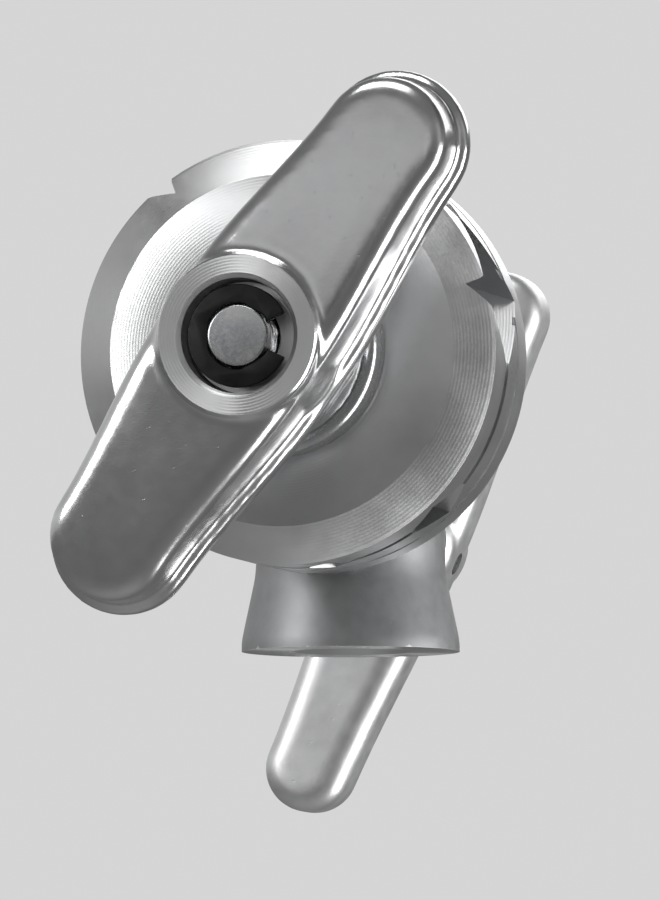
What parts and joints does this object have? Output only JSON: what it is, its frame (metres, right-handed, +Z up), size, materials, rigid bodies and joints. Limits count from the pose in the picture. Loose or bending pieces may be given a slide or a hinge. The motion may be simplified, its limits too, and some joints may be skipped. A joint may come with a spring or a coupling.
{
  "type": "grip head",
  "caption": "Silver grip head for a light stand: grooved round jaws on a cross bolt, closed by a T-handle, clamp an umbrella shaft above a stud socket with a wing lock.",
  "frame": {"origin": "centre of the stud socket's mouth", "axes": "+Z up the socket's bore, the T-handle faces -Y along the cross bolt"},
  "size_m": [0.0634, 0.122, 0.1052],
  "materials": {
    "cast_silver": "polished casting, fine grain",
    "machined_silver": "turned and polished",
    "zinc_steel": "bright zinc",
    "spring_steel": "drawn wire",
    "hardened_steel": "ground",
    "black_steel": "black oxide",
    "brass": "turned"
  },
  "bodies": {
    "base": {"base_casting": "cast_silver", "main_bolt": "zinc_steel", "retaining_clip": "black_steel"},
    "jaw_set": {"middle_jaw": "machined_silver", "alignment_pin_1": "zinc_steel", "alignment_pin_2": "zinc_steel", "jaw_spring": "spring_steel"},
    "outer_jaw": {"front_jaw": "machined_silver", "thrust_washer_inner": "hardened_steel"},
    "bearing": {"bearing_cage": "brass", "thrust_roller_1": "hardened_steel", "thrust_roller_2": "hardened_steel", "thrust_roller_3": "hardened_steel", "thrust_roller_4": "hardened_steel", "thrust_roller_5": "hardened_steel", "thrust_roller_6": "hardened_steel", "thrust_roller_7": "hardened_steel", "thrust_roller_8": "hardened_steel"},
    "thrust_plate": {"thrust_washer_outer": "hardened_steel"},
    "handle": {"t_handle": "cast_silver", "handle_nut": "zinc_steel", "bearing_cover": "zinc_steel"},
    "lock_pad": {"stud_pad": "brass"},
    "lock_screw": {"stud_lock_screw": "zinc_steel", "stud_lock_wing": "cast_silver", "stud_lock_pin": "spring_steel"}
  },
  "joints": [
    {"name": "jaw_turn", "type": "hinge", "parent": "base", "child": "jaw_set", "pos_m": [0, -0.0265, 0.0425], "axis": [0, -1, 0], "continuous": true},
    {"name": "jaw_slide", "type": "slide", "parent": "jaw_set", "child": "outer_jaw", "axis": [0, -1, 0], "range_m": [-0.00151, 0.00301]},
    {"name": "bearing_turn", "type": "hinge", "parent": "outer_jaw", "child": "bearing", "pos_m": [0, -0.049, 0.0425], "axis": [0, -1, 0], "range_deg": [-181, 361]},
    {"name": "handle_travel", "type": "slide", "parent": "base", "child": "thrust_plate", "axis": [0, -1, 0], "range_m": [-0.00151, 0.00301]},
    {"name": "handle_turn", "type": "hinge", "parent": "thrust_plate", "child": "handle", "pos_m": [0, -0.065, 0.0425], "axis": [0, -1, 0], "range_deg": [-360, 720]},
    {"name": "lock_travel", "type": "slide", "parent": "base", "child": "lock_pad", "axis": [0, -1, 0], "range_m": [-0.00251, 0.00189]},
    {"name": "lock_turn", "type": "hinge", "parent": "lock_pad", "child": "lock_screw", "pos_m": [0, 0.04, 0.019], "axis": [0, -1, 0], "range_deg": [-720, 540]}
  ],
  "couplings": [
    {"joint": "jaw_slide", "follows": "handle_turn", "m_per_rad": 0.00023873},
    {"joint": "handle_travel", "follows": "handle_turn", "m_per_rad": 0.00023873},
    {"joint": "bearing_turn", "follows": "handle_turn", "ratio": 0.5},
    {"joint": "lock_travel", "follows": "lock_turn", "m_per_rad": 0.00019894}
  ]
}
